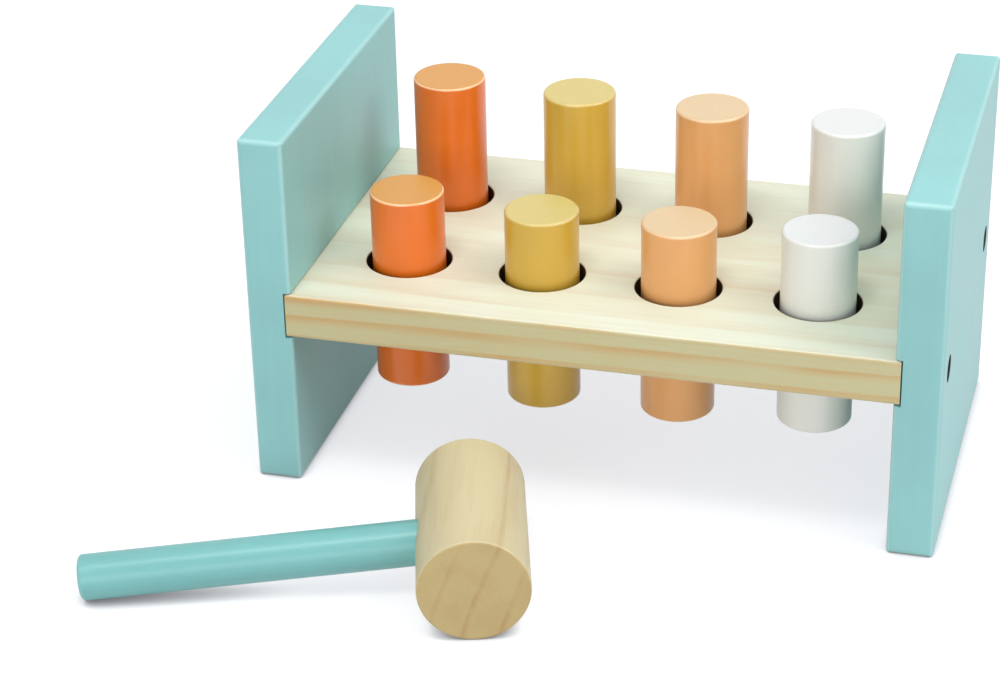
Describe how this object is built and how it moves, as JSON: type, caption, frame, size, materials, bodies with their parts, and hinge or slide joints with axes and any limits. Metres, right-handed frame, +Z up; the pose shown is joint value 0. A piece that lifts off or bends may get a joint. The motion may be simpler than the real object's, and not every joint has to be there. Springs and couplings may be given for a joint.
{
  "type": "peg pounding bench",
  "caption": "Wooden pounding bench: end panels carry a plank with rows of painted pegs that slide through gripped holes, with a cylinder-headed mallet lying in front.",
  "frame": {"origin": "on the floor, in the middle of the rectangle that bench and mallet take up together", "axes": "+X along the bench to the right, +Y from the front with the mallet to the back, +Z up"},
  "size_m": [0.263, 0.218, 0.126],
  "materials": {
    "turquoise_paint": "satin",
    "orange_paint": "satin",
    "yellow_paint": "satin",
    "peach_paint": "satin",
    "white_paint": "satin",
    "pine": "matte",
    "mallet_wood": "matte",
    "ring_rubber": "matte",
    "screw_steel": "satin"
  },
  "bodies": {
    "bench": {"left_panel": "turquoise_paint", "right_panel": "turquoise_paint", "bench_plank": "pine", "ring_front_1": "ring_rubber", "ring_front_2": "ring_rubber", "ring_front_3": "ring_rubber", "ring_front_4": "ring_rubber", "ring_back_1": "ring_rubber", "ring_back_2": "ring_rubber", "ring_back_3": "ring_rubber", "ring_back_4": "ring_rubber", "screw_left_front": "screw_steel", "screw_left_back": "screw_steel", "screw_right_front": "screw_steel", "screw_right_back": "screw_steel"},
    "peg_front_orange": {"peg_front_orange": "orange_paint"},
    "peg_front_yellow": {"peg_front_yellow": "yellow_paint"},
    "peg_front_peach": {"peg_front_peach": "peach_paint"},
    "peg_front_white": {"peg_front_white": "white_paint"},
    "peg_back_orange": {"peg_back_orange": "orange_paint"},
    "peg_back_yellow": {"peg_back_yellow": "yellow_paint"},
    "peg_back_peach": {"peg_back_peach": "peach_paint"},
    "peg_back_white": {"peg_back_white": "white_paint"},
    "mallet": {"mallet_head": "mallet_wood", "mallet_handle": "turquoise_paint"}
  },
  "joints": [
    {"name": "front_orange_slide", "type": "slide", "parent": "bench", "child": "peg_front_orange", "axis": [0, 0, 1], "range_m": [-0.026, 0.0275]},
    {"name": "front_yellow_slide", "type": "slide", "parent": "bench", "child": "peg_front_yellow", "axis": [0, 0, 1], "range_m": [-0.0235, 0.03]},
    {"name": "front_peach_slide", "type": "slide", "parent": "bench", "child": "peg_front_peach", "axis": [0, 0, 1], "range_m": [-0.024, 0.0295]},
    {"name": "front_white_slide", "type": "slide", "parent": "bench", "child": "peg_front_white", "axis": [0, 0, 1], "range_m": [-0.026, 0.0275]},
    {"name": "back_orange_slide", "type": "slide", "parent": "bench", "child": "peg_back_orange", "axis": [0, 0, 1], "range_m": [-0.0455, 0.008]},
    {"name": "back_yellow_slide", "type": "slide", "parent": "bench", "child": "peg_back_yellow", "axis": [0, 0, 1], "range_m": [-0.044, 0.0095]},
    {"name": "back_peach_slide", "type": "slide", "parent": "bench", "child": "peg_back_peach", "axis": [0, 0, 1], "range_m": [-0.0425, 0.011]},
    {"name": "back_white_slide", "type": "slide", "parent": "bench", "child": "peg_back_white", "axis": [0, 0, 1], "range_m": [-0.0415, 0.012]},
    {"name": "mallet_lift", "type": "slide", "parent": "bench", "child": "mallet", "axis": [0, 0, 1], "range_m": [0, 0.15]}
  ]
}
